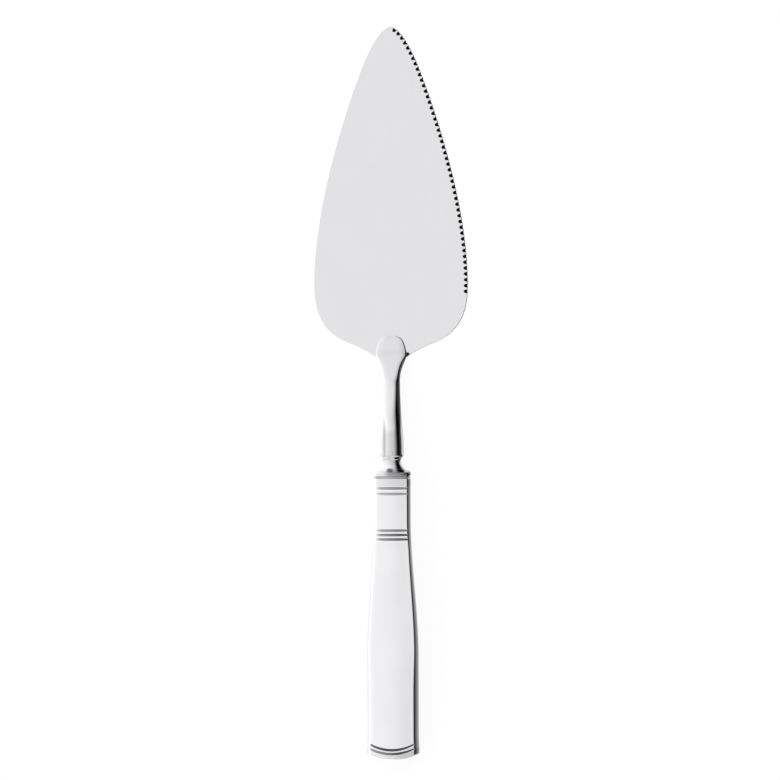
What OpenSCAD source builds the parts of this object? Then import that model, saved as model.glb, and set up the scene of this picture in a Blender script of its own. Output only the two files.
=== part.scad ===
// Cake server with a serrated steel blade, a cranked neck and a hollow banded handle.
// Millimetres. X runs across the blade, +Y towards its tip and +Z up from the table.
// The origin is at the middle of the whole server's footprint, on the table.

/* [Blade] */
// Length of the blade from its tip to the root of the neck
blade_len = 119; // [100:1:140]
// Greatest width of the blade
blade_w = 55.8; // [46:0.2:66]
// Thickness of the blade's sheet
blade_t = 1.2; // [0.9:0.1:1.6]

/* [Serration] */
// Distance from the tip to the first gullet, along the edge
tooth_start = 2; // [1:0.1:6]
// Length of edge that is serrated
tooth_run = 100.5; // [60:0.5:104]
// Distance from one gullet to the next
tooth_pitch = 2.13; // [1.8:0.01:4]
// Radius of the wheel that grinds a gullet
gullet_r = 0.7; // [0.4:0.02:0.8]
// Distance inside the edge at which a gullet's axis meets the top face
gullet_inset = 0.4; // [0:0.05:0.5]
// Slope of a gullet
gullet_slope = 48; // [35:1:60]

/* [Neck] */
// Length of the neck from the blade's root to the handle's mouth, in plan
neck_len = 41.7; // [36:0.1:50]
// Length of the tongue that lies over the blade
tongue_len = 7; // [5:0.1:12]
// Width of the tongue at the blade's root
tongue_w = 11.3; // [9:0.1:13]
// Height of the tongue's tip above the blade
tongue_t = 0.6; // [0.4:0.1:1]
// Height of the neck at the blade's root
root_h = 3.4; // [2.8:0.1:4.5]
// Lean of the neck where it leaves the blade
root_lean = 14; // [6:1:18]
// Least width of the shank
shank_w = 6.4; // [5.2:0.1:8]
// Least thickness of the shank
shank_t = 5.4; // [4.4:0.1:7]
// Squareness of the neck's section over the blade's root, where 2 is an ellipse
root_square = 5; // [2.5:0.5:6]
// Squareness of the shank's section where it is thinnest
shank_square = 3; // [2:0.2:4]
// Width of the knop
knop_w = 9.2; // [7.6:0.1:11]
// Thickness of the knop
knop_t = 8.4; // [7:0.1:9.6]
// Length of the knop
knop_len = 7.4; // [5:0.1:9]
// Width of the waist behind the knop
waist_w = 7.2; // [6.4:0.1:8]
// Thickness of the waist
waist_t = 6.4; // [5:0.1:7]
// Width of the foot where it seats on the mouth plate
foot_w = 10.6; // [9:0.1:11.4]
// Thickness of the foot
foot_t = 8; // [7:0.1:8.6]
// Length of the waist and foot together
foot_len = 5.4; // [4:0.1:7]

/* [Handle] */
// Length of the handle along its own axis
handle_len = 104.7; // [92:0.1:125]
// Fall of the handle towards the butt
handle_slope = 4; // [3:0.5:8]
// Width at the mouth
mouth_w = 14; // [12.6:0.1:16]
// Thickness at the mouth
mouth_t = 11; // [10.4:0.1:12]
// Width of the lower body
body_w = 19.4; // [17:0.1:22]
// Thickness of the lower body
body_t = 12.6; // [12:0.1:14]
// Width at the butt
butt_w = 19.9; // [17.4:0.1:23]
// Share of each half of the width that is the swelling side
side_share = 0.23; // [0.18:0.01:0.3]
// Rise of each face from its edges to its middle
face_crown = 0.25; // [0:0.05:0.4]
// Thickness of the silver sheet
wall = 0.6; // [0.4:0.1:0.9]

/* [Handle bands] */
// Distance from the mouth to the upper pair of grooves
pair_at = 5.8; // [4:0.05:8]
// Distance between the two grooves of the pair
pair_pitch = 2; // [1.6:0.05:2.6]
// Distance from the mouth to the three middle grooves
triple_at = 21.05; // [16:0.05:26]
// Distance between the middle grooves
triple_pitch = 1.6; // [1.4:0.05:2.2]
// Radius of a groove's section
groove_r = 0.5; // [0.4:0.02:0.6]
// Depth of a groove
groove_depth = 0.35; // [0.2:0.01:0.4]

/* [Mouth and butt] */
// Thickness of the mouth plate, up to the groove that hides its joint
plate_t = 1.9; // [1.4:0.05:2.4]
// Bevel round the mouth plate's front face
plate_bevel = 0.45; // [0.2:0.05:0.7]
// Radius of the arched butt, in plan
arch_r = 20; // [17:0.5:26]
// Thickness of the end plate at its middle
end_t = 2.8; // [2:0.1:3.5]
// Rise of the end plate's crown
end_crown = 0.8; // [0.4:0.1:1.2]
// Distance from the joint of the end plate to the arched groove before it
arch_pitch = 1.4; // [1.1:0.1:2]

/* [Tang] */
// Length of the tang inside the handle
tang_len = 58; // [40:1:70]
// Depth of the tang's socket in the neck
socket_depth = 7; // [5:0.5:9]
// Width of the tang
tang_w = 4.6; // [3.4:0.1:5]
// Thickness of the tang
tang_t = 2.8; // [2:0.1:3.4]

/* [Hidden] */
$fn = 64;

// Clearance of what sits inside the handle
fit_gap = 0.05;
// Length by which a cut runs past the piece that it cuts
overrun = 1;

edge_steps = 14;
ring_sides = 28;
neck_steps = 12;
side_steps = 7;
face_steps = 6;
handle_rings = 24;

// Half width and distance from the tip, as shares of half the blade's width and of its length.
// Each row is one Bezier curve, and the last row runs on under the neck as the tail.
outline_shares = [
    [[0, 0], [0.092, 0], [0.193, 0.029], [0.327, 0.097]],
    [[0.327, 0.097], [0.401, 0.136], [1, 0.495], [1, 0.782]],
    [[1, 0.782], [1, 0.847], [0.954, 0.925], [0.553, 0.961]],
    [[0.553, 0.961], [0.286, 0.986], [0.129, 1.012], [0.129, 1.026]]
];

// The shank is thinnest at this share of the crank's run
thin_share = 0.36;

// The handle keeps its mouth's width, swells to its body and flares a little at the butt
swell_start_share = 0.165;
swell_end_share = 0.64;
flare_start_share = 0.9;

// Radius of the crowned end in side view, and how far the handle reaches in plan
crown_r = (pow(body_t / 2, 2) + pow(end_crown, 2)) / (2 * end_crown);
handle_reach = (handle_len - crown_r) * cos(handle_slope) + crown_r;
overall_len = blade_len + neck_len + handle_reach;

tip_y = overall_len / 2;
root_y = tip_y - blade_len;
mouth_y = root_y - neck_len;
// The butt's lower edge touches the table, as the blade does
mouth_z = (handle_len - end_crown) * sin(handle_slope) + body_t / 2 * cos(handle_slope);

arch_at = handle_len - arch_r;
joint_r = arch_r - end_t;
tip_top = blade_t + tongue_t;

function bezier(p, t) =
    pow(1 - t, 3) * p[0] + 3 * t * pow(1 - t, 2) * p[1] + 3 * t * t * (1 - t) * p[2] + pow(t, 3) * p[3];
function ease(t) = let (u = min(max(t, 0), 1)) u * u * (3 - 2 * u);
function signed_pow(v, e) = sign(v) * pow(abs(v), e);
function between(a, b, share) = a + (b - a) * share;

// The blade's right-hand edge, from the tip to the end of the tail
blade_edge = [
    for (i = [0 : len(outline_shares) - 1], k = [(i == 0 ? 0 : 1) : edge_steps])
        let (p = bezier(outline_shares[i], k / edge_steps))
            [p.x * blade_w / 2, tip_y - p.y * blade_len]
];
// Distance along the edge from the tip to each of its points
edge_run = [
    for (i = 0, run = 0; i < len(blade_edge);
         run = run + (i + 1 < len(blade_edge) ? norm(blade_edge[i + 1] - blade_edge[i]) : 0), i = i + 1) run
];
function edge_at(d) = [
    lookup(d, [for (i = [0 : len(edge_run) - 1]) [edge_run[i], blade_edge[i].x]]),
    lookup(d, [for (i = [0 : len(edge_run) - 1]) [edge_run[i], blade_edge[i].y]])
];

module blade_outline() {
    left_edge = [for (i = [len(blade_edge) - 1 : -1 : 1]) [-blade_edge[i].x, blade_edge[i].y]];
    polygon(concat(blade_edge, left_edge));
}

// One round gullet, ground down and outwards through the edge at the distance d from the tip
module gullet(d) {
    along = edge_at(d + tooth_pitch / 4) - edge_at(d - tooth_pitch / 4);
    place = edge_at(d);
    translate([place.x, place.y, blade_t])
        rotate(atan2(along.y, along.x) + 90)
            translate([-gullet_inset, 0, 0])
                rotate([0, 90 + gullet_slope, 0])
                    cylinder(r = gullet_r, h = 4 * blade_t, center = true, $fn = 24);
}

module blade() {
    color("gainsboro")
        difference() {
            linear_extrude(blade_t) blade_outline();
            for (d = [tooth_start : tooth_pitch : tooth_start + tooth_run]) gullet(d);
        }
}

// Moves a piece from the handle's own frame, with its mouth at the origin, to its place
module at_mouth() {
    translate([0, mouth_y, mouth_z]) rotate([handle_slope, 0, 0]) children();
}

// A closed skin over rings of equally many points. Each end is one flat face, or on an open
// channel a strip that joins the outer half of its ring to the inner half.
module loft(rings, channel = false) {
    n = len(rings[0]);
    last = len(rings) - 1;
    cap = channel
        ? [for (i = [0 : n / 2 - 2]) [i, i + 1, n - 2 - i, n - 1 - i]]
        : [[for (i = [0 : n - 1]) i]];
    polyhedron(
        points = [for (ring = rings, p = ring) p],
        faces = concat(
            cap,
            [
                for (r = [0 : last - 1], i = [0 : n - 1], upper = [true, false])
                    let (a = r * n + i, b = a + n, c = (r + 1) * n + (i + 1) % n, d = c - n)
                        upper ? [a, b, c] : [a, c, d]
            ],
            [for (face = cap) [for (i = [len(face) - 1 : -1 : 0]) last * n + face[i]]]
        )
    );
}

// One ring of the neck. The station s holds the distance back from the blade's root, the height
// of the ring's middle, its half height, its half width, its lean and its squareness.
function neck_ring(s) = [
    for (i = [0 : ring_sides - 1])
        let (a = 360 * i / ring_sides)
            let (x = s[3] * signed_pow(cos(a), 2 / s[5]), h = s[2] * signed_pow(sin(a), 2 / s[5]))
                [x, root_y - s[0] + h * sin(s[4]), s[1] + h * cos(s[4])]
];

// A station on the handle's axis, at the distance u before the mouth
function axis_station(u, half_t, half_w) = [
    neck_len - u * cos(handle_slope), mouth_z + u * sin(handle_slope), half_t, half_w, -handle_slope, 2
];

knop_start = axis_station(foot_len + knop_len, knop_t / 2, knop_w / 2);
half_root = root_h / 2;

// Middle line of the crank, as heights at even distances from the blade's root to the knop
crank_run = knop_start[0];
crank_heights = [
    half_root,
    half_root + crank_run / 3 * tan(root_lean),
    knop_start[1] + crank_run / 3 * tan(handle_slope),
    knop_start[1]
];
function crank_z(s) = bezier(crank_heights, s / crank_run);
function crank_lean(s) =
    let (t = s / crank_run, h = crank_heights)
        let (early = pow(1 - t, 2) * (h[1] - h[0]), middle = 2 * t * (1 - t) * (h[2] - h[1]))
            atan(3 * (early + middle + t * t * (h[3] - h[2])) / crank_run);

// Bezier stations of the tongue
tongue_curve = [
    [-tongue_len, tip_top / 2, tip_top / 2, tongue_w / 5, 0, root_square],
    [-tongue_len, tip_top / 2, tip_top / 2, tongue_w * 2 / 5, 0, root_square],
    [-tongue_len / 3, tip_top * 2 / 3, tip_top * 2 / 3, tongue_w / 2, 0, root_square],
    [0, half_root, half_root, tongue_w / 2, root_lean, root_square]
];

// Distance from the root, half height, half width and squareness of the crank, in two Bezier
// curves that meet where the shank is thinnest
shank_at = crank_run * thin_share;
shank_size = [shank_at, shank_t / 2, shank_w / 2, shank_square];
fillet_curve = [
    [0, half_root, tongue_w / 2, root_square],
    [shank_at / 5, half_root * 6 / 5, tongue_w / 2, root_square],
    [shank_at * 2 / 5, shank_t / 2, shank_w / 2, shank_square],
    shank_size
];
shank_curve = [
    shank_size,
    [between(shank_at, crank_run, 1 / 3), shank_t / 2, shank_w / 2, shank_square],
    [between(shank_at, crank_run, 2 / 3),
     between(shank_t, knop_t, 1 / 3) / 2, between(shank_w, knop_w, 2 / 5) / 2, 2],
    [crank_run, knop_t / 2, knop_w / 2, 2]
];
function crank_station(size) = [size[0], crank_z(size[0]), size[1], size[2], crank_lean(size[0]), size[3]];

// Size of the knop, waist and foot, as shares of the way from the waist's size to the knop's or
// the foot's, each at a share of the knop's or the foot's length before the mouth
knop_shares = [[0.75, 1.02], [0.4, 1.04], [0.12, 1.02], [0.03, 0.9]];
waist_share = 0.64;
foot_shares = [
    [0.92, 0.4], [0.8, 0.06], [waist_share, 0], [0.5, 0.08], [0.34, 0.32], [0.2, 0.66], [0.1, 1], [0, 1]
];

neck_stations = concat(
    [for (k = [0 : neck_steps]) bezier(tongue_curve, k / neck_steps)],
    [for (curve = [fillet_curve, shank_curve], k = [1 : neck_steps])
        crank_station(bezier(curve, k / neck_steps))],
    [for (s = knop_shares)
        axis_station(foot_len + s[0] * knop_len,
                     between(waist_t, knop_t, s[1]) / 2,
                     between(waist_w, knop_w, s[1]) / 2)],
    [for (s = foot_shares)
        let (near_knop = s[0] > waist_share)
            axis_station(s[0] * foot_len,
                         between(waist_t, near_knop ? knop_t : foot_t, s[1]) / 2,
                         between(waist_w, near_knop ? knop_w : foot_w, s[1]) / 2)]
);

module neck() {
    color("silver")
        difference() {
            loft([for (s = neck_stations) neck_ring(s)]);
            translate([0, 0, -overrun]) linear_extrude(blade_t + overrun) blade_outline();
            at_mouth()
                translate([-tang_w / 2, -overrun, -tang_t / 2])
                    cube([tang_w, socket_depth + overrun, tang_t]);
        }
}

// The pointed bar of the tang, from the distance start before the mouth
module tang_bar(start) {
    shoulder = tang_w - tang_len;
    translate([0, 0, -tang_t / 2])
        linear_extrude(tang_t)
            polygon([
                [tang_w / 2, start],
                [-tang_w / 2, start],
                [-tang_w / 2, shoulder],
                [0, -tang_len],
                [tang_w / 2, shoulder]
            ]);
}

module tang() {
    color("slategray") at_mouth() tang_bar(socket_depth);
}

// Half width and half thickness of the handle at the distance v behind its mouth
function swell(v) = ease((v / handle_len - swell_start_share) / (swell_end_share - swell_start_share));
function flare(v) = ease((v / handle_len - flare_start_share) / (1 - flare_start_share));
function half_w(v) = (mouth_w + (body_w - mouth_w) * swell(v) + (butt_w - body_w) * flare(v)) / 2;
function half_t(v) = (mouth_t + (body_t - mouth_t) * swell(v)) / 2;

// Columns over the upper side of the handle's section, from its right-hand seam to its left-hand
// one: share of the face's half width, share of the side's swell, and share of the height
swell_columns = [for (k = [0 : side_steps]) let (a = 90 * k / side_steps) [1, cos(a), sin(a)]];
upper_columns = concat(
    swell_columns,
    [for (k = [1 : face_steps - 1]) [1 - 2 * k / face_steps, 0, 1]],
    [for (k = [side_steps : -1 : 0]) let (c = swell_columns[k]) [-c[0], -c[1], c[2]]]
);
// A crowned face between two swelling sides, all drawn in by inset
function upper_side(v, inset) =
    let (w = half_w(v) - inset, t = half_t(v) - inset, b = max(half_w(v) * side_share - inset, wall))
        [
            for (c = upper_columns)
                let (x = c[0] * (w - b) + c[1] * b)
                    [x, c[2] * (t - face_crown * pow(x / w, 2))]
        ];
function lower_side(v, inset) =
    [for (p = upper_side(v, inset)) [-p.x, -p.y]];
function section_ring(v, inset) =
    let (upper = upper_side(v, inset), lower = lower_side(v, inset))
        [for (p = concat(upper, [for (k = [1 : len(lower) - 2]) lower[k]])) [p.x, -v, p.y]];
// The notch is the depth by which a ring's outer side is drawn in
function shell_ring(v, notch) =
    let (outer = upper_side(v, notch), inner = upper_side(v, wall), n = len(inner))
        [for (p = concat(outer, [for (k = [n - 1 : -1 : 0]) inner[k]])) [p.x, -v, p.y]];

function handle_stops(from, to, count) = [for (k = [0 : count]) between(from, to, k / count)];
body_stops = handle_stops(plate_t + groove_r, handle_len, handle_rings);

// A block with an arched end of the radius r, that trims the handle's pieces
module arch_mask(r) {
    linear_extrude(2 * body_t, center = true) {
        translate([0, -arch_at]) circle(r, $fn = 96);
        translate([-r, -arch_at]) square([2 * r, arch_at + overrun]);
    }
}

// The straight grooves across one face, and the two arched ones before the butt
module face_grooves() {
    lift = groove_r - groove_depth;
    pair = [for (k = [0, 1]) pair_at + k * pair_pitch];
    triple = [for (k = [0 : 2]) triple_at + k * triple_pitch];
    for (v = concat(pair, triple))
        translate([0, -v, half_t(v) + lift])
            rotate([0, 90, 0]) cylinder(r = groove_r, h = 2 * mouth_w, center = true, $fn = 32);
    for (r = [joint_r, joint_r - arch_pitch])
        intersection() {
            translate([0, -arch_at, half_t(handle_len) + lift])
                rotate_extrude($fn = 96) translate([r, 0]) circle(groove_r, $fn = 32);
            translate([-butt_w, -handle_len - overrun, 0])
                cube([2 * butt_w, handle_len - arch_at + overrun, body_t]);
        }
}

module shell() {
    difference() {
        intersection() {
            loft(
                concat([shell_ring(plate_t, groove_depth)], [for (v = body_stops) shell_ring(v, 0)]),
                channel = true
            );
            arch_mask(joint_r);
        }
        face_grooves();
    }
}

module handle_front_shell() {
    color("silver") at_mouth() shell();
}

module handle_back_shell() {
    color("silver") at_mouth() mirror([0, 0, 1]) shell();
}

// Its back edge slopes in, and with the shells' front edges makes one groove round the joint
module mouth_plate() {
    color("silver")
        at_mouth()
            difference() {
                loft([
                    section_ring(0, plate_bevel),
                    section_ring(plate_bevel, 0),
                    section_ring(plate_t - groove_r, 0),
                    section_ring(plate_t, groove_depth)
                ]);
                tang_bar(overrun);
            }
}

// The crowned ring from which the handle's section cuts the end plate
module crowned_ring() {
    rotate_extrude($fn = 96)
        intersection() {
            translate([joint_r, -body_t]) square([end_t + overrun, 2 * body_t]);
            translate([arch_r - crown_r, 0]) circle(crown_r, $fn = 96);
        }
}

module handle_end_plate() {
    from = arch_at + joint_r / 2;
    color("silver")
        at_mouth()
            difference() {
                intersection() {
                    loft([for (v = handle_stops(from, handle_len + overrun, 6)) section_ring(v, 0)]);
                    translate([0, -arch_at, 0]) crowned_ring();
                }
                face_grooves();
                mirror([0, 0, 1]) face_grooves();
            }
}

module handle_filler() {
    color("tan")
        at_mouth()
            difference() {
                intersection() {
                    loft([for (v = concat([plate_t], body_stops)) section_ring(v, wall + fit_gap)]);
                    arch_mask(joint_r - fit_gap);
                }
                tang_bar(overrun);
            }
}

blade();
neck();
tang();
mouth_plate();
handle_front_shell();
handle_back_shell();
handle_end_plate();
handle_filler();
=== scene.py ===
# Cake server: smooth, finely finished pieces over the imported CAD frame.
# Shapes are worked out in millimetres, in the frame's own axes, and made in metres.

import math

import bmesh
import bpy
import numpy as np
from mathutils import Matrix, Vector


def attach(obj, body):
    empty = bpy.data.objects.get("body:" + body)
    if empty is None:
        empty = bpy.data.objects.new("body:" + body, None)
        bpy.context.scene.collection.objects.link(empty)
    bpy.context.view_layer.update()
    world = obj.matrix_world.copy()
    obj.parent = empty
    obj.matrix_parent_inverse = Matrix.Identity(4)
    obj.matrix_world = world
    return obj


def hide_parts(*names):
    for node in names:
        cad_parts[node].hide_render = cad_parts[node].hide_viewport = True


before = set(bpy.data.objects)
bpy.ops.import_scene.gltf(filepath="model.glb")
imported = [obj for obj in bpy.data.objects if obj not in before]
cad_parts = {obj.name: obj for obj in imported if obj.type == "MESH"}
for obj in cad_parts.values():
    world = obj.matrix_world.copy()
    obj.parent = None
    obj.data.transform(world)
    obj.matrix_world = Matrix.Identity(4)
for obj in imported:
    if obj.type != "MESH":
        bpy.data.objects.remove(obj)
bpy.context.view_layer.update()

MM = 0.001

# Blade and serration. The blade's edge has a bevel above and is broken below.
BLADE_LEN = 119.0
BLADE_W = 55.8
BLADE_T = 1.2
EDGE_BEVEL = 0.2
EDGE_BREAK = 0.08
OUTLINE_STEPS = 60
TOOTH_START = 2.0
TOOTH_RUN = 100.5
TOOTH_PITCH = 2.13
GULLET_R = 0.7
GULLET_INSET = 0.4
GULLET_SLOPE = math.radians(42)

# Neck. A squareness of 2 is an ellipse, and a tuck is how far a half width draws in.
NECK_LEN = 41.7
TONGUE_LEN = 7.0
TONGUE_W = 11.3
TONGUE_T = 0.6
TONGUE_ROUND = 0.2
ROOT_H = 3.4
ROOT_LEAN = math.radians(14)
THIN_SHARE = 0.36
SHANK_SQUARE = 3
ROOT_SQUARE = 6.5
FILLET_SQUARES = (8.125, 9.1)
FILLET_TUCKS = (0.6, 0.35)
SHANK_W = 6.4
SHANK_T = 5.4
KNOP_W = 9.2
KNOP_T = 8.4
KNOP_LEN = 7.4
KNOP_TUCK = 0.18
WAIST_W = 7.2
WAIST_T = 6.4
FOOT_W = 10.6
FOOT_T = 8.0
FOOT_LEN = 5.4

# Handle. Its shares are of its length, and of half its width for its sides.
HANDLE_LEN = 104.7
HANDLE_SLOPE = math.radians(4)
MOUTH_W = 14.0
MOUTH_T = 11.0
BODY_W = 19.4
BODY_T = 12.6
BUTT_W = 19.9
SIDE_SHARE = 0.23
SLIM_SHARE = 0.045
FACE_CROWN = 0.25
LOWER_CROWN = 0.1
WALL = 0.6
SWELL_START_SHARE = 0.165
SWELL_END_SHARE = 0.64
FLARE_START_SHARE = 0.9

# Grooves, mouth and butt. Fine rows reach GROOVE_ROWS to both sides of each groove.
PAIR_AT = 5.8
PAIR_PITCH = 2.0
TRIPLE_AT = 21.05
TRIPLE_PITCH = 1.6
GROOVE_R = 0.5
GROOVE_DEPTH = 0.35
GROOVE_FLARE = 3
GROOVE_ROWS = 0.75
ROW_GAP = 0.012
SHOULDER = 0.08
DIRT_DEPTH = 0.04
PLATE_T = 1.9
PLATE_BEVEL = 0.45
ARCH_R = 20.0
END_T = 2.8
END_CROWN = 0.8
END_ROUND = 0.3
ARCH_PITCH = 1.4
ARCH_MARGIN = 0.9
BEND_START = 60

# Derived sizes, the same as in the CAD source
CROWN_R = ((BODY_T / 2) ** 2 + END_CROWN**2) / (2 * END_CROWN)
HANDLE_REACH = (HANDLE_LEN - CROWN_R) * math.cos(HANDLE_SLOPE) + CROWN_R
TIP_Y = (BLADE_LEN + NECK_LEN + HANDLE_REACH) / 2
ROOT_Y = TIP_Y - BLADE_LEN
MOUTH_Y = ROOT_Y - NECK_LEN
MOUTH_Z = (HANDLE_LEN - END_CROWN) * math.sin(HANDLE_SLOPE) + BODY_T / 2 * math.cos(HANDLE_SLOPE)
ARCH_AT = HANDLE_LEN - ARCH_R
JOINT_R = ARCH_R - END_T

# Painted shade: a dark spot on the blade beside the neck, where the neck's side meets the blade
JOINT_SHADE_X = 5.9
JOINT_SHADE_Y = 13.9
JOINT_SHADE_R = 1.2
JOINT_SHADE_COLOUR = (0.02, 0.02, 0.022)

# Half width and distance from the tip, as shares of half the blade's width and of its length
OUTLINE_SHARES = [
    [[0, 0], [0.092, 0], [0.193, 0.029], [0.327, 0.097]],
    [[0.327, 0.097], [0.401, 0.136], [1, 0.495], [1, 0.782]],
    [[1, 0.782], [1, 0.847], [0.954, 0.925], [0.553, 0.961]],
    [[0.553, 0.961], [0.286, 0.986], [0.129, 1.012], [0.129, 1.026]],
]


# Curves

def bezier(points, t):
    """Points of the cubic Bezier curve with four control points, at the shares t."""
    p = np.asarray(points, float)
    t = np.asarray(t, float)[:, None]
    s = 1 - t
    return s**3 * p[0] + 3 * t * s**2 * p[1] + 3 * t * t * s * p[2] + t**3 * p[3]


def ease(t):
    """A soft step from 0 to 1."""
    u = np.clip(t, 0, 1)
    return u * u * (3 - 2 * u)


def smooth_curve(x, knots_x, knots_y):
    """A curve through the knots that never swings past them. knots_x only rises."""
    kx = np.asarray(knots_x, float)
    ky = np.asarray(knots_y, float)
    step = np.diff(kx)
    rise = np.diff(ky) / step
    slope = np.zeros(len(kx))
    same_way = rise[:-1] * rise[1:] > 0
    total = np.where(same_way, rise[:-1] + rise[1:], 1)
    slope[1:-1] = np.where(same_way, 2 * rise[:-1] * rise[1:] / total, 0)
    slope[0] = rise[0]
    slope[-1] = rise[-1]
    i = np.clip(np.searchsorted(kx, x) - 1, 0, len(step) - 1)
    t = (x - kx[i]) / step[i]
    start = (1 + 2 * t) * (1 - t) ** 2 * ky[i] + t * (1 - t) ** 2 * step[i] * slope[i]
    end = t * t * (3 - 2 * t) * ky[i + 1] + t * t * (t - 1) * step[i] * slope[i + 1]
    return start + end


def stops(start, end, count):
    return np.linspace(start, end, count + 1)


def at_mouth(points):
    """Takes points from the handle's own frame, mouth at the origin, to their place."""
    p = np.asarray(points, float)
    c = math.cos(HANDLE_SLOPE)
    s = math.sin(HANDLE_SLOPE)
    y = p[..., 1] * c - p[..., 2] * s + MOUTH_Y
    z = p[..., 1] * s + p[..., 2] * c + MOUTH_Z
    return np.stack([p[..., 0], y, z], axis=-1)


# Meshes

def grid_faces(rows, count, closed=True):
    faces = []
    for r in range(rows - 1):
        for i in range(count if closed else count - 1):
            j = (i + 1) % count
            faces.append((r * count + i, r * count + j, (r + 1) * count + j, (r + 1) * count + i))
    return faces


def end_caps(rows, count):
    last = (rows - 1) * count
    return [tuple(range(count - 1, -1, -1)), tuple(range(last, last + count))]


def make_piece(name, points, faces, materials, sharp_angle=40):
    mesh = bpy.data.meshes.new(name)
    mesh.from_pydata((np.asarray(points, float).reshape(-1, 3) * MM).tolist(), [], faces)
    for material in materials:
        mesh.materials.append(material)
    piece = bpy.data.objects.new(name, mesh)
    bpy.context.scene.collection.objects.link(piece)
    face_outwards(mesh)
    smooth(mesh, sharp_angle)
    return piece


def face_outwards(mesh):
    work = bmesh.new()
    work.from_mesh(mesh)
    bmesh.ops.recalc_face_normals(work, faces=work.faces)
    work.to_mesh(mesh)
    work.free()


def smooth(mesh, sharp_angle):
    mesh.shade_smooth()
    mesh.set_sharp_from_angle(angle=math.radians(sharp_angle))


def cut(piece, cutter, sharp_angle=40):
    """Takes the cutter's solid out of the piece for good, and deletes the cutter."""
    change = piece.modifiers.new("cut", "BOOLEAN")
    change.operation = "DIFFERENCE"
    change.solver = "EXACT"
    change.material_mode = "TRANSFER"
    change.object = cutter
    bpy.context.view_layer.update()
    shaped = piece.evaluated_get(bpy.context.evaluated_depsgraph_get())
    mesh = bpy.data.meshes.new_from_object(shaped)
    piece.modifiers.clear()
    piece.data = mesh
    smooth(mesh, sharp_angle)
    bpy.data.objects.remove(cutter)


def mark_tarnish_and_shade(piece, strengths):
    """Gives each vertex the strength of its tarnish and painted shade, from 0 to 1."""
    attribute = piece.data.attributes.new("tarnish_and_shade", "FLOAT", "POINT")
    attribute.data.foreach_set("value", np.asarray(strengths, np.float32).reshape(-1))


def stand_in(piece, slot, *nodes):
    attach(piece, "root")
    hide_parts(*nodes)


# Shader nodes

def add_math(nodes, links, operation, first, second):
    node = nodes.new("ShaderNodeMath")
    node.operation = operation
    for socket, value in zip(node.inputs, (first, second)):
        if isinstance(value, bpy.types.NodeSocket):
            links.new(value, socket)
        else:
            socket.default_value = value
    return node.outputs[0]


def add_axes(nodes, links, output):
    """The x, y and z of a texture coordinate."""
    place = nodes.new("ShaderNodeTexCoord")
    split = nodes.new("ShaderNodeSeparateXYZ")
    links.new(place.outputs[output], split.inputs[0])
    return [split.outputs[axis] for axis in ("X", "Y", "Z")]


def add_noise(nodes, links, stretch, scale, detail=4.0):
    """Noise in the object's own metres, stretched along the axes by stretch."""
    place = nodes.new("ShaderNodeTexCoord")
    mapping = nodes.new("ShaderNodeMapping")
    noise = nodes.new("ShaderNodeTexNoise")
    mapping.inputs["Scale"].default_value = stretch
    noise.inputs["Scale"].default_value = scale
    noise.inputs["Detail"].default_value = detail
    links.new(place.outputs["Object"], mapping.inputs["Vector"])
    links.new(mapping.outputs["Vector"], noise.inputs["Vector"])
    return noise.outputs["Fac"]


def add_range(nodes, links, value, low, high, from_low=0.35, from_high=0.65):
    """Takes the value's stretch from from_low to from_high to low to high, held at both ends."""
    ranged = nodes.new("ShaderNodeMapRange")
    ranged.inputs["From Min"].default_value = from_low
    ranged.inputs["From Max"].default_value = from_high
    ranged.inputs["To Min"].default_value = low
    ranged.inputs["To Max"].default_value = high
    links.new(value, ranged.inputs["Value"])
    return ranged.outputs["Result"]


def add_ramp(nodes, links, value, marks):
    """A ramp of grey levels through the marks, each a place from 0 to 1 and a level."""
    ramp = nodes.new("ShaderNodeValToRGB")
    elements = ramp.color_ramp.elements
    while len(elements) < len(marks):
        elements.new(0.5)
    for element, (at, level) in zip(elements, marks):
        element.position = at
        element.color = (level, level, level, 1)
    links.new(value, ramp.inputs["Fac"])
    return ramp.outputs["Color"]


def add_mix(nodes, links, factor, first, second):
    mix = nodes.new("ShaderNodeMix")
    mix.data_type = "RGBA"
    links.new(factor, mix.inputs["Factor"])
    for socket, colour in ((mix.inputs["A"], first), (mix.inputs["B"], second)):
        if isinstance(colour, bpy.types.NodeSocket):
            links.new(colour, socket)
        else:
            socket.default_value = (*colour, 1)
    return mix.outputs["Result"]


def add_bump(nodes, links, height, distance, strength, below=None):
    bump = nodes.new("ShaderNodeBump")
    bump.inputs["Strength"].default_value = strength
    bump.inputs["Distance"].default_value = distance
    links.new(height, bump.inputs["Height"])
    if below is not None:
        links.new(below, bump.inputs["Normal"])
    return bump.outputs["Normal"]


def add_clouds(nodes, links, noise, first, second):
    """The first colour where the noise is low, and the second where it is high."""
    return add_mix(nodes, links, add_range(nodes, links, noise, 0, 1), first, second)


def add_spot(nodes, links, centre, radius):
    """1 round the centre, in the object's own metres, and 0 outside the radius."""
    place = nodes.new("ShaderNodeTexCoord")
    away = nodes.new("ShaderNodeVectorMath")
    away.operation = "DISTANCE"
    away.inputs[1].default_value = centre
    links.new(place.outputs["Object"], away.inputs[0])
    return add_range(nodes, links, away.outputs["Value"], 1, 0, radius * 0.6, radius)


# Materials

def new_material(name):
    material = bpy.data.materials.new(name)
    material.use_nodes = True
    return material, material.node_tree.nodes, material.node_tree.links


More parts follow.
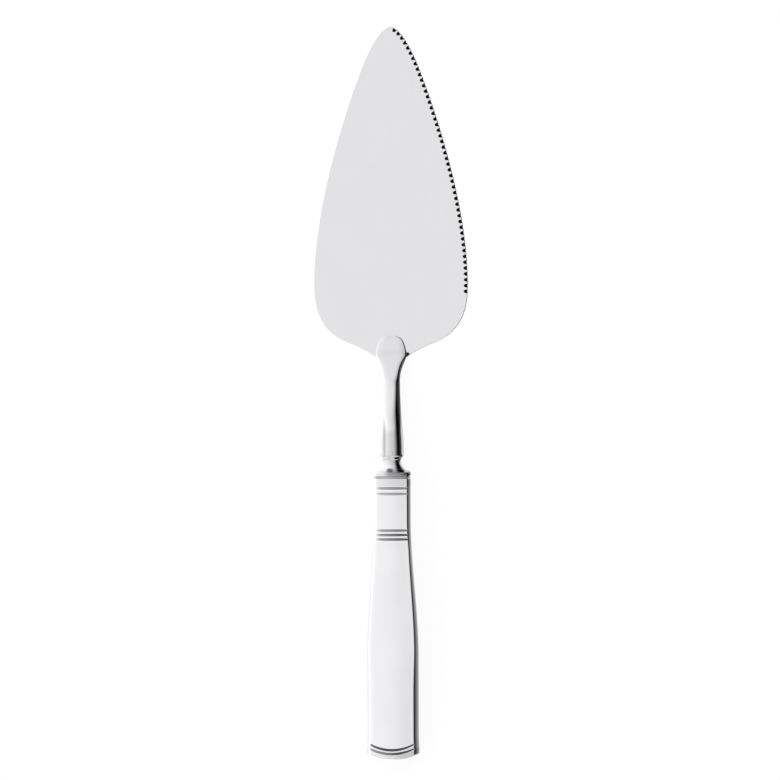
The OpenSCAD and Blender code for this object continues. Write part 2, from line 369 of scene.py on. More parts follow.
def polished_metal(name, colour, shade, roughness, grain, tarnish_and_shade=None, joint_shade=None):
    """Polished metal with cloudy wiping marks and with hairlines along the grain. It may have
    tarnish and painted shade, as strong as the mesh's own attribute says, and a spot of painted
    shade."""
    material, nodes, links = new_material(name)
    shader = nodes["Principled BSDF"]
    shader.inputs["Metallic"].default_value = 1
    cloudy = add_noise(nodes, links, (1, 1, 1), 90)
    hairlines = add_noise(nodes, links, grain, 60, detail=8)
    base = add_clouds(nodes, links, cloudy, colour, shade)
    if tarnish_and_shade:
        # Tarnish, and painted shade and reflection, as strong as the mesh's attribute says.
        reach = nodes.new("ShaderNodeAttribute")
        reach.attribute_name = "tarnish_and_shade"
        base = add_mix(nodes, links, reach.outputs["Fac"], base, tarnish_and_shade)
    # A dark spot of painted shade, where the neck meets the blade.
    if joint_shade:
        base = add_mix(nodes, links, add_spot(nodes, links, *joint_shade), base, JOINT_SHADE_COLOUR)
    links.new(base, shader.inputs["Base Color"])
    rough = add_range(nodes, links, hairlines, roughness[0], roughness[1])
    links.new(rough, shader.inputs["Roughness"])
    lines = add_bump(nodes, links, hairlines, 0.00001, 0.05)
    links.new(add_bump(nodes, links, cloudy, 0.00002, 0.04, lines), shader.inputs["Normal"])
    return material


def shaded_ground_steel():
    """The gullets' walls: left as the grinding wheel cut them, with lines down the slope. Their
    near-black colour is painted shade.
    """
    material, nodes, links = new_material("shaded_ground_steel")
    shader = nodes["Principled BSDF"]
    shader.inputs["Metallic"].default_value = 1
    lines = add_noise(nodes, links, (1, 8, 1), 900)
    base = add_clouds(nodes, links, lines, (0.045, 0.045, 0.048), (0.09, 0.09, 0.095))
    links.new(base, shader.inputs["Base Color"])
    links.new(add_range(nodes, links, lines, 0.16, 0.34), shader.inputs["Roughness"])
    links.new(add_bump(nodes, links, lines, 0.00001, 0.25), shader.inputs["Normal"])
    return material


def mill_steel():
    """The tang's steel: grey and dull, with scale from the mill."""
    material, nodes, links = new_material("mill_steel")
    shader = nodes["Principled BSDF"]
    shader.inputs["Metallic"].default_value = 1
    scale = add_noise(nodes, links, (1, 1, 1), 400)
    base = add_clouds(nodes, links, scale, (0.4, 0.39, 0.38), (0.24, 0.21, 0.19))
    links.new(base, shader.inputs["Base Color"])
    links.new(add_range(nodes, links, scale, 0.4, 0.7), shader.inputs["Roughness"])
    links.new(add_bump(nodes, links, scale, 0.0001, 0.4), shader.inputs["Normal"])
    return material


def set_cement():
    """The filler: matt set cement with fine sand in it."""
    material, nodes, links = new_material("set_cement")
    shader = nodes["Principled BSDF"]
    sand = add_noise(nodes, links, (1, 1, 1), 1500)
    base = add_clouds(nodes, links, sand, (0.62, 0.55, 0.44), (0.45, 0.39, 0.3))
    links.new(base, shader.inputs["Base Color"])
    shader.inputs["Roughness"].default_value = 0.9
    links.new(add_bump(nodes, links, sand, 0.0002, 0.6), shader.inputs["Normal"])
    return material


# Blade

def blade_edge(steps):
    """The blade's right-hand edge, from the tip to the end of the tail."""
    curves = [bezier(row, stops(0, 1, steps)) for row in OUTLINE_SHARES]
    shares = np.concatenate([curves[0]] + [curve[1:] for curve in curves[1:]])
    return np.stack([shares[:, 0] * BLADE_W / 2, TIP_Y - shares[:, 1] * BLADE_LEN], axis=-1)


def full_outline(steps):
    """The whole outline, down the right and back up the left."""
    right = blade_edge(steps)
    left = right[:0:-1] * [-1, 1]
    return np.concatenate([right, left])


def inset_outline(outline, inset):
    """The outline moved inwards, square to itself."""
    along = np.roll(outline, -1, axis=0) - np.roll(outline, 1, axis=0)
    along /= np.linalg.norm(along, axis=1)[:, None]
    return outline + inset * np.stack([along[:, 1], -along[:, 0]], axis=-1)


def blade_prism(name, outline, levels, materials):
    """A plate with the outline, through levels of height and inset."""
    rings = []
    for height, inset in levels:
        ring = inset_outline(outline, inset)
        rings.append(np.column_stack([ring, np.full(len(ring), height)]))
    points = np.concatenate(rings)
    count = len(outline)
    faces = grid_faces(len(levels), count) + end_caps(len(levels), count)
    return make_piece(name, points, faces, materials, sharp_angle=20)


def point_along(edge, run, distance):
    """The point at the distance along the edge, where run is the distance of each of its points."""
    return np.array([np.interp(distance, run, edge[:, 0]), np.interp(distance, run, edge[:, 1])])


def gullet_cutters(materials):
    """One round bar for each gullet, square to the edge and sloping down and outwards."""
    edge = blade_edge(OUTLINE_STEPS)
    run = np.concatenate([[0], np.cumsum(np.linalg.norm(np.diff(edge, axis=0), axis=1))])
    down = np.array([math.cos(GULLET_SLOPE), -math.sin(GULLET_SLOPE)])
    reach = 2 * BLADE_T
    angles = stops(0, 2 * math.pi, 32)[:-1]
    points = []
    faces = []
    for d in np.arange(TOOTH_START, TOOTH_START + TOOTH_RUN, TOOTH_PITCH):
        place = point_along(edge, run, d)
        ahead = point_along(edge, run, d + 0.5)
        along = (ahead - place) / np.linalg.norm(ahead - place)
        out = np.array([-along[1], along[0]])
        centre = np.array([*(place - out * GULLET_INSET), BLADE_T])
        axis = np.array([*(out * down[0]), down[1]])
        side = np.array([*along, 0])
        lift = np.cross(axis, side)
        first = len(points)
        for end in (-reach, reach):
            for a in angles:
                ring = side * math.cos(a) + lift * math.sin(a)
                points.append(centre + axis * end + ring * GULLET_R)
        count = len(angles)
        bar = grid_faces(2, count) + end_caps(2, count)
        faces += [tuple(first + i for i in face) for face in bar]
    return make_piece("gullet_cutters", points, faces, materials)


def build_blade(steel, ground):
    levels = [
        (0, EDGE_BREAK),
        (EDGE_BREAK, 0),
        (BLADE_T - EDGE_BEVEL, 0),
        (BLADE_T - EDGE_BEVEL * 0.3, EDGE_BEVEL * 0.35),
        (BLADE_T, EDGE_BEVEL),
    ]
    blade = blade_prism("blade_plate", full_outline(OUTLINE_STEPS), levels, [steel, ground])
    cut(blade, gullet_cutters([ground]), sharp_angle=20)
    stand_in(blade, "blade_steel", "blade")


# Neck

def neck_ring(station, sides=96):
    """One closed ring. A station is the distance behind the root, the height of the ring's
    middle, its half height, its half width, its lean and its squareness, 2 for an ellipse."""
    back, middle, half_h, half_w, lean, square = station
    a = stops(0, 2 * math.pi, sides)[:-1]
    x = half_w * np.sign(np.cos(a)) * np.abs(np.cos(a)) ** (2 / square)
    h = half_h * np.sign(np.sin(a)) * np.abs(np.sin(a)) ** (2 / square)
    return np.stack([x, ROOT_Y - back + h * math.sin(lean), middle + h * math.cos(lean)], axis=-1)


def axis_station(u, half_h, half_w):
    """A round station on the handle's axis, at the distance u before the mouth."""
    back = NECK_LEN - u * math.cos(HANDLE_SLOPE)
    middle = MOUTH_Z + u * math.sin(HANDLE_SLOPE)
    return [back, middle, half_h, half_w, -HANDLE_SLOPE, 2]


def tongue_stations():
    """The tongue over the blade, from its rounded tip to the root."""
    tip_top = BLADE_T + TONGUE_T
    half_root = ROOT_H / 2
    rounding = []
    for a in stops(0, math.pi / 2, 5)[:-1]:
        drop = TONGUE_ROUND * (1 - math.sin(a))
        top = (tip_top - drop) / 2
        back = -TONGUE_LEN + TONGUE_ROUND * (1 - math.cos(a)) - TONGUE_ROUND
        rounding.append([back, top, top, TONGUE_W / 5 - drop, 0, ROOT_SQUARE])
    curve = [
        [-TONGUE_LEN, tip_top / 2, tip_top / 2, TONGUE_W / 5, 0, ROOT_SQUARE],
        [-TONGUE_LEN, tip_top / 2, tip_top / 2, TONGUE_W * 2 / 5, 0, ROOT_SQUARE],
        [-TONGUE_LEN / 3, tip_top * 2 / 3, tip_top * 2 / 3, TONGUE_W / 2, 0, ROOT_SQUARE],
        [0, half_root, half_root, TONGUE_W / 2, ROOT_LEAN, ROOT_SQUARE],
    ]
    return rounding + bezier(curve, stops(0, 1, 40)).tolist()


def crank_stations():
    """The crank, along one curve from the root to the knop. Its sizes follow two curves: the
    fillet, down to where the shank is thinnest, and from there up to the knop."""
    knop_start = axis_station(FOOT_LEN + KNOP_LEN, KNOP_T / 2, KNOP_W / 2)
    run = knop_start[0]
    half_root = ROOT_H / 2
    heights = np.array([
        half_root,
        half_root + run / 3 * math.tan(ROOT_LEAN),
        knop_start[1] + run / 3 * math.tan(HANDLE_SLOPE),
        knop_start[1],
    ])
    at = run * THIN_SHARE
    shank = [at, SHANK_T / 2, SHANK_W / 2, SHANK_SQUARE]
    fillet = [
        [0, half_root, TONGUE_W / 2, ROOT_SQUARE],
        [at / 5, half_root * 6 / 5, TONGUE_W / 2 - FILLET_TUCKS[0], FILLET_SQUARES[0]],
        [at * 2 / 5, SHANK_T / 2, SHANK_W / 2 - FILLET_TUCKS[1], FILLET_SQUARES[1]],
        shank,
    ]
    to_knop = [
        shank,
        [at + (run - at) / 3, SHANK_T / 2, SHANK_W / 2, SHANK_SQUARE],
        [at + (run - at) * 2 / 3, (SHANK_T + KNOP_T * 4) / 10, (SHANK_W * 3 + KNOP_W * 2) / 10, 2],
        [run, KNOP_T / 2, KNOP_W / 2 - KNOP_TUCK, 2],
    ]
    sizes = np.concatenate([
        bezier(fillet, stops(0, 1, 60))[1:],
        bezier(to_knop, stops(0, 1, 70))[1:],
    ])
    t = sizes[:, 0] / run
    middle = bezier(heights[:, None], t)[:, 0]
    steps = np.diff(heights)
    slope = 3 * ((1 - t) ** 2 * steps[0] + 2 * t * (1 - t) * steps[1] + t * t * steps[2]) / run
    return [[s[0], m, s[1], s[2], math.atan(g), s[3]] for s, m, g in zip(sizes, middle, slope)]


def foot_stations():
    """The foot, the waist and the knop, through knots that read back from the mouth. A knot is a
    share of the length, and one share for both half sizes or one each for width and height."""
    foot = [(0, 1), (0.1, 1), (0.2, 0.66), (0.34, 0.32), (0.5, 0.08), (0.64, 0)]
    rise = [(0.8, 0.06, 0.14), (0.92, 0.4, 0.46)]
    knop = [
        (0.03, 0.9, 0.84),
        (0.12, 1.01, 0.98),
        (0.4, 1.01, 1.08),
        (0.75, 0.95, 1.08),
        (1, 0.82, 1),
    ]
    at = []
    half_h = []
    half_w = []
    for share, size in foot:
        at.append(share * FOOT_LEN)
        half_h.append((WAIST_T + (FOOT_T - WAIST_T) * size) / 2)
        half_w.append((WAIST_W + (FOOT_W - WAIST_W) * size) / 2)
    for start, length, shares in ((0, FOOT_LEN, rise), (FOOT_LEN, KNOP_LEN, knop)):
        for share, wide, high in shares:
            at.append(start + share * length)
            half_h.append((WAIST_T + (KNOP_T - WAIST_T) * high) / 2)
            half_w.append((WAIST_W + (KNOP_W - WAIST_W) * wide) / 2)
    u = stops(FOOT_LEN + KNOP_LEN, 0, 150)[1:]
    heights = smooth_curve(u, at, half_h)
    widths = smooth_curve(u, at, half_w)
    return [axis_station(*values) for values in zip(u, heights, widths)]


def soft_oval(x, u, at_x, at_u, half_x, half_u, dark):
    """A soft oval mark round the place at_x, at_u, as strong as dark."""
    away = np.hypot((x - at_x) / half_x, (u - at_u) / half_u)
    return dark * (1 - ease((away - 0.45) / 0.55))


def neck_shade_and_reflection(mesh):
    """Painted shade and reflection on the upper side: shade round the foot, near the mouth plate,
    and a faint reflection streak along the knop's left. Each row is x, the distance before the
    mouth, half width, half length and strength."""
    foot_joint_shade = [
        (-0.5, 0.5, 1.7, 1.1, 0.82),
        (0.9, 0.1, 2, 1, 0.4),
        (2.6, 0.5, 0.85, 0.5, 1),
        (3.9, 0.1, 0.9, 0.8, 0.75),
        (-2.4, 4.2, 0.7, 0.35, 0.13),
    ]
    knop_reflection = (-2.5, 11, 0.62, 10.5, 0.38)
    points = np.empty(len(mesh.vertices) * 3, np.float32)
    mesh.vertices.foreach_get("co", points)
    x, y, z = points.reshape(-1, 3).T / MM
    u = (y - MOUTH_Y) * math.cos(HANDLE_SLOPE) + (z - MOUTH_Z) * math.sin(HANDLE_SLOPE)
    strength = soft_oval(x, u, *knop_reflection) * (u > FOOT_LEN + 0.3)
    for row in foot_joint_shade:
        strength = np.maximum(strength, soft_oval(x, u, *row))
    return strength * (z > MOUTH_Z)


def build_neck(metal):
    stations = tongue_stations() + crank_stations() + foot_stations()
    rings = np.array([neck_ring(station) for station in stations])
    rows, count = rings.shape[:2]
    faces = grid_faces(rows, count) + end_caps(rows, count)
    neck = make_piece("neck_casting", rings, faces, [metal])
    slot = blade_prism("slot_cutter", full_outline(OUTLINE_STEPS), [(-1, 0), (BLADE_T, 0)], [metal])
    cut(neck, slot)
    mark_tarnish_and_shade(neck, neck_shade_and_reflection(neck.data))
    stand_in(neck, "neck_metal", "neck")


# Handle

def swell(v):
    """0 at the handle's mouth and 1 in its lower body, at the distance v behind the mouth."""
    return ease((v / HANDLE_LEN - SWELL_START_SHARE) / (SWELL_END_SHARE - SWELL_START_SHARE))


def half_width(v):
    flare = ease((v / HANDLE_LEN - FLARE_START_SHARE) / (1 - FLARE_START_SHARE))
    return (MOUTH_W + (BODY_W - MOUTH_W) * swell(v) + (BUTT_W - BODY_W) * flare) / 2


def half_height(v):
    return (MOUTH_T + (BODY_T - MOUTH_T) * swell(v)) / 2


def side_share(v):
    """The swelling sides are a little slimmer along the middle of the handle."""
    return SIDE_SHARE - SLIM_SHARE * ease((v - 20) / 8) * (1 - ease((v - 62) / 18))


def side_columns(swell_steps=16, face_steps=14):
    """Columns over the upper side, right to left: share of the face, of the swell, and height."""
    right = [(1, math.cos(a), math.sin(a)) for a in stops(0, math.pi / 2, swell_steps)]
    face = [(share, 0, 1) for share in stops(1, -1, face_steps)[1:-1]]
    left = [(-1, -c, s) for _, c, s in reversed(right)]
    return np.array(right + face + left)


def section(v, columns, inset=0.0):
    """x and z of each column at the distances v behind the mouth, drawn in by inset."""
    w = half_width(v) - inset
    t = half_height(v) - inset
    b = np.maximum(half_width(v) * side_share(v) - inset, WALL)
    x = columns[:, 0] * (w - b) + columns[:, 1] * b
    crown = FACE_CROWN + LOWER_CROWN * ease((v - 55) / 30)
    z = columns[:, 2] * (t - crown * (x / w) ** 2)
    return x, z


def row_v(u, x):
    """Distance behind the mouth of the row u at x: straight rows that bend to the butt's arch."""
    first_arc = JOINT_R - ARCH_PITCH - ARCH_MARGIN
    r = u - ARCH_AT
    if r >= first_arc:
        return ARCH_AT + np.sqrt(r * r - x * x)
    bend = ease((u - BEND_START) / (ARCH_AT + first_arc - BEND_START))
    return u - bend * (first_arc - np.sqrt(first_arc**2 - x * x))


def place_row(u, columns):
    """x, v and z along the row u. Its width and its bend hang together, so both are settled."""
    v = np.full(len(columns), float(u))
    for _ in range(5):
        x, z = section(v, columns, rim_inset(v))
        v = row_v(u, x)
    return x, v, z


def straight_grooves():
    """Distance behind the mouth and tarnish of each straight groove."""
    pair = [(PAIR_AT + k * PAIR_PITCH, patina_and_shade) for k, patina_and_shade in enumerate((0.77, 0.66))]
    return pair + [(TRIPLE_AT + k * TRIPLE_PITCH, patina_and_shade) for k, patina_and_shade in enumerate((0.8, 0.93, 0.9))]


def arched_grooves():
    """Radius and tarnish of each arched groove."""
    return [(JOINT_R, 0.98), (JOINT_R - ARCH_PITCH, 1.25)]


def groove_level(off, top):
    """Height of a groove's floor at the distance off from its middle."""
    lift = GROOVE_R - GROOVE_DEPTH
    inside = np.abs(off) < GROOVE_R
    floor = lift - np.sqrt(np.maximum(GROOVE_R**2 - off**2, 0))
    beside = lift + GROOVE_FLARE * (np.abs(off) - GROOVE_R)
    return top + np.where(inside, floor, beside)


def rim_inset(v):
    """Depth at v of the groove that runs all round the joint of the mouth plate."""
    level = groove_level(v - PLATE_T, 0)
    return (np.sqrt(level**2 + SHOULDER**2) - level) / 2 * (np.abs(v - PLATE_T) < 3 * GROOVE_R)


def rim_tarnish_and_shade(x, v):
    """Tarnish in the groove round the joint of the mouth plate, with painted shade towards the
    right.
    """
    return 0.68 * groove_dirt(v - PLATE_T) * darker_to_right(x)


def engrave(x, v, z):
    """Cuts the grooves into the height z, with soft shoulders, and says how dark each is: tarnish,
    with painted shade to the right and a painted highlight at the left-hand ends.
    """
    top = half_height(v)
    r = np.where(v > ARCH_AT, np.hypot(x, v - ARCH_AT), np.inf)
    grooves = [(v - at, patina_and_shade * bright_left_end(x, v)) for at, patina_and_shade in straight_grooves()]
    grooves += [(r - radius, patina_and_shade) for radius, patina_and_shade in arched_grooves()]
    level = np.full(len(z), np.inf)
    tarnish_and_shade = np.zeros(len(z))
    for off, patina_and_shade in grooves:
        level = np.minimum(level, groove_level(off, top))
        tarnish_and_shade = np.maximum(tarnish_and_shade, patina_and_shade * groove_dirt(off))
    level = np.minimum(level, z + 2)
    cut_z = (z + level - np.sqrt((z - level) ** 2 + SHOULDER**2)) / 2
    tarnish_and_shade = np.minimum(tarnish_and_shade * darker_to_right(x), 1)
    return cut_z, tarnish_and_shade * np.clip((z - cut_z - DIRT_DEPTH) / DIRT_DEPTH, 0, 1)


def groove_dirt(off):
    """1 along the middle of a groove, and 0 beside it."""
    return 1 - ease((np.abs(off) / GROOVE_R - 0.7) / 0.4)


def bright_left_end(x, v):
    """Painted highlight: the straight grooves run out bright at their left-hand ends, where their
    darkening fades.
    """
    return ease((x + half_width(v) - 1.1) / 1.9)


def darker_to_right(x):
    """Painted shade: the right-hand end of each groove is darker than its left-hand end."""
    return 0.75 + 0.35 * ease((x + 6) / 12)


def shaded_bands(x, v):
    """Painted shade: the narrow bands at the mouth and the butt are darker than the face, and more
    so towards the right.
    """
    mouth = 1 - ease((v - PAIR_AT + 0.9) / 0.4)
    butt = ease((np.hypot(x, v - ARCH_AT) - JOINT_R - 0.3) / 0.3) * (v > ARCH_AT)
    across = 0.08 + 0.1 * ease((x + 5) / 5)
    return np.maximum(mouth * across, butt * (across + 0.12 * ease(x / 4)))


def shell_rows():
    """Rows along a shell, close together at each groove."""
    rows = [stops(PLATE_T, ARCH_AT + JOINT_R, 110)]
    middles = [at for at, _ in straight_grooves()] + [ARCH_AT + JOINT_R - ARCH_PITCH]
    rows += [middle + stops(-GROOVE_ROWS, GROOVE_ROWS, 40) for middle in middles]
    rows.append(PLATE_T + stops(0, GROOVE_ROWS, 20))
    rows.append(ARCH_AT + JOINT_R - stops(0, GROOVE_ROWS, 20))
    rows = np.unique(np.round(np.concatenate(rows), 3))
    return rows[np.concatenate([[True], np.diff(rows) > ROW_GAP])]


def build_shell(name, node, up, metal):
    """One half of the handle's sheet: up is 1 for the upper half and -1 for the lower one."""
    columns = side_columns()
    points = []
    tarnish_and_shade = []
    for u in shell_rows():
        x, v, z = place_row(u, columns)
        z, patina_and_shade = engrave(x, v, z)
        points.append(np.stack([x, -v, z * up], axis=-1))
        # Groove tarnish with painted shade, and the painted shade of the narrow bands.
        tarnish_and_shade.append(np.maximum(np.maximum(patina_and_shade, rim_tarnish_and_shade(x, v)), shaded_bands(x, v)))
    points = at_mouth(points)
    rows, count = points.shape[:2]
    faces = grid_faces(rows, count, closed=False)
    if up < 0:
        faces = [face[::-1] for face in faces]
    mesh = bpy.data.meshes.new(name)
    mesh.from_pydata((points.reshape(-1, 3) * MM).tolist(), [], faces)
    mesh.materials.append(metal)
    shell = bpy.data.objects.new(name, mesh)
    bpy.context.scene.collection.objects.link(shell)
    mark_tarnish_and_shade(shell, tarnish_and_shade)
    mesh.shade_smooth()
    sheet = shell.modifiers.new("sheet", "SOLIDIFY")
    sheet.thickness = WALL * MM
    sheet.offset = -1
    stand_in(shell, "handle_silver", node)


def closed_columns():
    """Columns all round the handle, for the plates at its ends."""
    upper = side_columns()
    lower = upper[1:-1][::-1] * [1, 1, -1]
    return np.concatenate([upper, lower])


def ring_at(v, columns, inset=0.0):
    """A closed ring of the handle's section, with v one number or one for each column."""
    v = np.broadcast_to(np.asarray(v, float), (len(columns),))
    x, z = section(v, columns, inset)
    return np.stack([x, -v, z], axis=-1)


def foot_shade_on_plate(x, v):
    """Painted shade on the plate round the foot, heavier on its right, where it paints the mirrored
    shaded side of the foot.
    """
    left = 0.6 * ease((x + 3.6) / 3.2)
    right = 0.15 * ease((x - 0.5) / 4) + 0.13 * ease((x - 3.6) / 1.2)
    return (0.12 + left + right) * (1 - ease((v - 0.9) / 1.3))


def build_mouth_plate(metal):
    """The plate's rounded front corner, and its half of the groove round the joint."""
    columns = closed_columns()
    profile = [(0, PLATE_BEVEL + 0.2)]
    for a in stops(math.pi / 2, 0, 8):
        profile.append((PLATE_BEVEL * (1 - math.sin(a)), PLATE_BEVEL * (1 - math.cos(a))))
    profile += [(v, rim_inset(v)) for v in PLATE_T - stops(GROOVE_ROWS, 0, 20)]
    rings = np.array([ring_at(v, columns, inset) for v, inset in profile])
    rows, count = rings.shape[:2]
    faces = grid_faces(rows, count) + end_caps(rows, count)
    plate = make_piece("mouth_bevel", at_mouth(rings), faces, [metal], sharp_angle=60)
    x = rings[0, :, 0]
    # Tarnish in the rim groove, with painted shade round the foot.
    mark_tarnish_and_shade(plate, [np.maximum(rim_tarnish_and_shade(x, v), foot_shade_on_plate(x, v)) for v, _ in profile])
    stand_in(plate, "handle_silver", "mouth_plate")


def end_radius(z):
    """Radius of the arched end at the height z: the end is crowned as well as arched."""
    return ARCH_R - CROWN_R + np.sqrt(CROWN_R**2 - z * z)


def build_end_plate(metal):
    """The crowned and arched butt plate: its flat joint with the shells, its side up to the
    rounded edge, the edge itself, and the crowned end."""
    columns = closed_columns()
    rings = []
    tarnish_and_shade = []
    start_x, start_v, start_z = place_row(ARCH_AT + JOINT_R, columns)
    for share in (0.02, 0.35, 0.7, 0.93):
        v = ARCH_AT + np.sqrt(JOINT_R**2 - (start_x * share) ** 2)
        rings.append(np.stack([start_x * share, -v, start_z * share], axis=-1))
        tarnish_and_shade.append(np.zeros(len(columns)))
    for share in np.concatenate([stops(0, 0.5, 16), stops(0.5, 1, 6)[1:]]):
        x, v, z = start_x, start_v, start_z
        for _ in range(5):
            reach = JOINT_R + (end_radius(z) - END_ROUND - JOINT_R) * share
            v = ARCH_AT + np.sqrt(reach**2 - x * x)
            x, z = section(v, columns)
        high, patina_and_shade = engrave(x, v, np.abs(z))
        rings.append(np.stack([x, -v, np.sign(z) * high], axis=-1))
        # Groove tarnish with painted shade, and the painted shade of the narrow bands.
        tarnish_and_shade.append(np.maximum(patina_and_shade, shaded_bands(x, v)))
    edge_x, edge_z = x, z
    size = np.hypot(edge_x, edge_z)
    for a in stops(0, math.pi / 2, 6)[1:]:
        inset = END_ROUND * (1 - math.cos(a))
        share = 1 - inset / size
        x, z = edge_x * share, edge_z * share
        reach = end_radius(z) - END_ROUND * (1 - math.sin(a))
        rings.append(np.stack([x, -ARCH_AT - np.sqrt(reach**2 - x * x), z], axis=-1))
        tarnish_and_shade.append(shaded_bands(x, v))
    inner_x = edge_x * (1 - END_ROUND / size)
    inner_z = edge_z * (1 - END_ROUND / size)
    for share in stops(1, 0.03, 14)[1:]:
        x, z = inner_x * share, inner_z * share
        rings.append(np.stack([x, -ARCH_AT - np.sqrt(end_radius(z) ** 2 - x * x), z], axis=-1))
        tarnish_and_shade.append(shaded_bands(x, v))
    rings = np.array(rings)
    rows, count = rings.shape[:2]
    faces = grid_faces(rows, count) + end_caps(rows, count)
    plate = make_piece("butt_plate", at_mouth(rings), faces, [metal], sharp_angle=60)
    mark_tarnish_and_shade(plate, tarnish_and_shade)
    stand_in(plate, "handle_silver", "handle_end_plate")


def dress_node(name, material):
    """Gives a piece of the frame that keeps its own shape its material."""
    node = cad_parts[name]
    node.data.materials.clear()
    node.data.materials.append(material)


# Studio

def seen_floor(nodes, links):
    """How bright the metal sees the floor, in the object's own metres. It dims to the right, the
    more the further along, but stays light beside the neck, and is plain left of the handle."""
    x, y, _ = add_axes(nodes, links, "Object")
    ahead = add_range(nodes, links, y, 0, 1.3, -0.013, 0.987)
    right = add_range(nodes, links, x, 0, 1, -0.002, 0.004)
    across = add_math(nodes, links, "ADD", x, add_math(nodes, links, "MULTIPLY", ahead, right))
    dim = add_ramp(nodes, links, add_range(nodes, links, across, 0, 1, -0.01, 0.09), [
        (0, 1.35), (0.1, 1.3), (0.19, 0.7), (0.25, 0.36), (0.31, 0.22), (0.42, 0.15), (0.6, 0.1),
        (0.8, 0.07), (1, 0.04)
    ])
    beside_neck = add_ramp(nodes, links, add_range(nodes, links, y, 0, 1, -0.032, 0.008), [
        (0.04, 0), (0.1, 0.87), (0.52, 0.87), (0.6, 0.7), (0.7, 0.4), (0.85, 0.04), (1, 0)
    ])
    near = add_range(nodes, links, x, 1, 0.1, 0.045, 0.1)
    beside_neck = add_math(nodes, links, "MULTIPLY", beside_neck, near)
    bright = add_math(nodes, links, "MAXIMUM", dim, beside_neck)
    left_limit = add_range(nodes, links, x, 0.94, 1.4, -0.02, -0.011)
    handle_limit = add_range(nodes, links, y, 0.94, 1.4, -0.05, -0.04)
    limit = add_math(nodes, links, "MAXIMUM", left_limit, handle_limit)
    return add_math(nodes, links, "MINIMUM", bright, limit)


def build_floor():
    """A white floor that keeps a soft shadow, and that the metal sees by its own brightness."""
    material, nodes, links = new_material("white_floor")
    shader = nodes["Principled BSDF"]
    shader.inputs["Base Color"].default_value = (0.9, 0.9, 0.9, 1)
    shader.inputs["Roughness"].default_value = 0.9
    path = nodes.new("ShaderNodeLightPath")
    strength = nodes.new("ShaderNodeMix")
    strength.data_type = "FLOAT"
    strength.inputs["A"].default_value = 1
    links.new(path.outputs["Is Glossy Ray"], strength.inputs["Factor"])
    links.new(seen_floor(nodes, links), strength.inputs["B"])
    glow = nodes.new("ShaderNodeEmission")
    links.new(strength.outputs["Result"], glow.inputs["Strength"])
    to_camera = add_math(nodes, links, "MULTIPLY", path.outputs["Is Camera Ray"], 0.88)
    share = add_math(nodes, links, "MAXIMUM", to_camera, path.outputs["Is Glossy Ray"])
    mix = nodes.new("ShaderNodeMixShader")
    links.new(share, mix.inputs["Fac"])
    links.new(shader.outputs["BSDF"], mix.inputs[1])
    links.new(glow.outputs["Emission"], mix.inputs[2])
    links.new(mix.outputs["Shader"], nodes["Material Output"].inputs["Surface"])
    bpy.ops.mesh.primitive_plane_add(size=60, location=(0, 0, -0.02 * MM))
    floor = bpy.context.object
    floor.name = "floor"
    floor.data.materials.append(material)


def add_flag(nodes, links, low_share, y):
    """The dark flag along the right: lighter high up, and with a glow low down and ahead."""
    flag = add_ramp(nodes, links, low_share, [
        (0, 0.87), (0.07, 0.85), (0.17, 0.82), (0.25, 0.76), (0.34, 0.62), (0.42, 0.39),
        (0.5, 0.18), (0.58, 0)
    ])
    glow = add_ramp(nodes, links, low_share, [(0.8, 0.005), (0.9, 0.06), (1, 0.1)])
    glow = add_math(nodes, links, "MULTIPLY", glow, add_range(nodes, links, y, 1, 0.1, 0.03, 0.25))
    return add_math(nodes, links, "MAXIMUM", flag, glow)


def add_dome(nodes, links, x, y, up):
    """The studio's walls, which darken from left to right, and the horizon straight ahead."""
    side = add_ramp(nodes, links, add_range(nodes, links, x, 0, 1, -1, 1), [
        (0, 1.25), (0.295, 1.01), (0.42, 0.935), (0.485, 0.888), (0.5, 0.868), (0.515, 0.83),
        (0.55, 0.73), (0.6, 0.65), (0.68, 0.46), (0.77, 0.12), (0.85, 0.03), (1, 0)
    ])
    horizon = add_ramp(nodes, links, up, [(0, 0.42), (0.08, 0.5), (0.16, 0.95)])
    fore = add_ramp(nodes, links, y, [(0.9, 0), (0.98, 1)])
    return add_mix(nodes, links, fore, side, horizon)


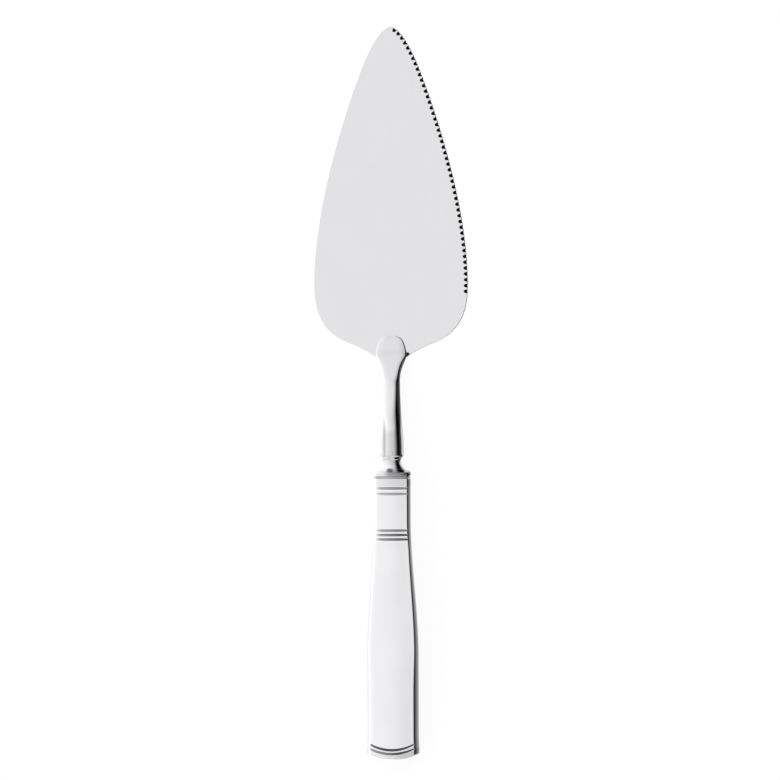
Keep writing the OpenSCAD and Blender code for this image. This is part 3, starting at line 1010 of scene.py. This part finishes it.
def build_world():
    """A white studio. The metal also sees a dark flag along its right, except far ahead, and a
    plain light behind."""
    world = bpy.data.worlds.new("studio")
    bpy.context.scene.world = world
    world.use_nodes = True
    nodes = world.node_tree.nodes
    links = world.node_tree.links
    x, y, z = add_axes(nodes, links, "Generated")
    right = add_math(nodes, links, "MAXIMUM", x, 0.0001)
    up = add_math(nodes, links, "MAXIMUM", z, 0)
    along = add_math(nodes, links, "MAXIMUM", y, add_math(nodes, links, "MULTIPLY", y, -1.6))
    low_share = add_math(nodes, links, "DIVIDE", right, add_math(nodes, links, "ADD", right, up))
    far_share = add_math(nodes, links, "DIVIDE", along, add_math(nodes, links, "ADD", along, right))
    beyond = add_ramp(nodes, links, far_share, [
        (0.45, 0), (0.55, 0.05), (0.63, 0.26), (0.72, 0.62), (0.86, 1)
    ])
    flag = add_flag(nodes, links, low_share, y)
    dome = add_dome(nodes, links, x, y, up)
    mirror = add_mix(nodes, links, beyond, flag, dome)
    behind = add_range(nodes, links, y, 1, 0, -0.62, -0.45)
    mirror = add_mix(nodes, links, behind, mirror, (0.87, 0.87, 0.87))
    ahead = add_ramp(nodes, links, y, [
        (0, 0.835), (0.045, 0.82), (0.13, 0.86), (0.35, 1), (0.46, 1), (0.63, 0.945),
        (0.72, 0.95), (0.88, 1)
    ])
    seen = nodes["Background"]
    links.new(mirror, seen.inputs["Color"])
    links.new(add_math(nodes, links, "MULTIPLY", ahead, 1.2), seen.inputs["Strength"])
    plain = nodes.new("ShaderNodeBackground")
    plain.inputs["Color"].default_value = (1, 1, 1, 1)
    path = nodes.new("ShaderNodeLightPath")
    mix = nodes.new("ShaderNodeMixShader")
    links.new(path.outputs["Is Glossy Ray"], mix.inputs["Fac"])
    links.new(plain.outputs["Background"], mix.inputs[1])
    links.new(seen.outputs["Background"], mix.inputs[2])
    links.new(mix.outputs["Shader"], nodes["World Output"].inputs["Surface"])


def build_lamp():
    """A soft lamp over the floor, which the metal doesn't mirror."""
    lamp = bpy.data.lights.new("softbox", "AREA")
    lamp.energy = 6
    lamp.size = 1.2
    softbox = bpy.data.objects.new("softbox", lamp)
    softbox.location = (-0.5, 0.2, 1.3)
    softbox.rotation_euler = (-Vector(softbox.location)).to_track_quat("-Z", "Y").to_euler()
    softbox.visible_glossy = False
    bpy.context.scene.collection.objects.link(softbox)


def build_camera():
    """Straight down through a long lens, framed as the photograph is."""
    image_px = 780
    mm_per_px = 0.3622
    lens = bpy.data.cameras.new("camera")
    lens.lens = 400
    lens.sensor_width = 36
    camera = bpy.data.objects.new("camera", lens)
    distance = image_px * mm_per_px * lens.lens / lens.sensor_width
    camera.location = (-0.4 * MM, 1.2 * MM, distance * MM)
    camera.rotation_euler = (0, 0, math.radians(-0.17))
    bpy.context.scene.collection.objects.link(camera)
    bpy.context.scene.camera = camera


def build_all():
    # The blade has a spot of painted shade beside the neck.
    blade_steel = polished_metal(
        "blade_steel", (0.885, 0.876, 0.902), (0.87, 0.861, 0.887), (0.08, 0.16), (6, 0.2, 1),
        joint_shade=((JOINT_SHADE_X * MM, JOINT_SHADE_Y * MM, BLADE_T * MM), JOINT_SHADE_R * MM)
    )
    # The neck's dark colour paints shade round the foot and a reflection along the knop's left.
    neck_metal = polished_metal(
        "neck_metal", (0.73, 0.725, 0.74), (0.71, 0.705, 0.72), (0.02, 0.06), (4, 0.5, 1),
        tarnish_and_shade=(0.03, 0.028, 0.036)
    )
    # The silver's dark colour goes into the grooves' tarnish and into painted shade.
    silver = polished_metal(
        "handle_silver", (0.975, 0.97, 0.993), (0.955, 0.95, 0.973), (0.03, 0.09), (4, 0.3, 1),
        tarnish_and_shade=(0.1, 0.096, 0.11)
    )
    build_blade(blade_steel, shaded_ground_steel())
    build_neck(neck_metal)
    build_mouth_plate(silver)
    build_shell("front_sheet", "handle_front_shell", 1, silver)
    build_shell("back_sheet", "handle_back_shell", -1, silver)
    build_end_plate(silver)
    dress_node("tang", mill_steel())
    dress_node("handle_filler", set_cement())
    build_floor()
    build_world()
    build_lamp()
    build_camera()
    bpy.context.scene.view_settings.view_transform = "Standard"


build_all()
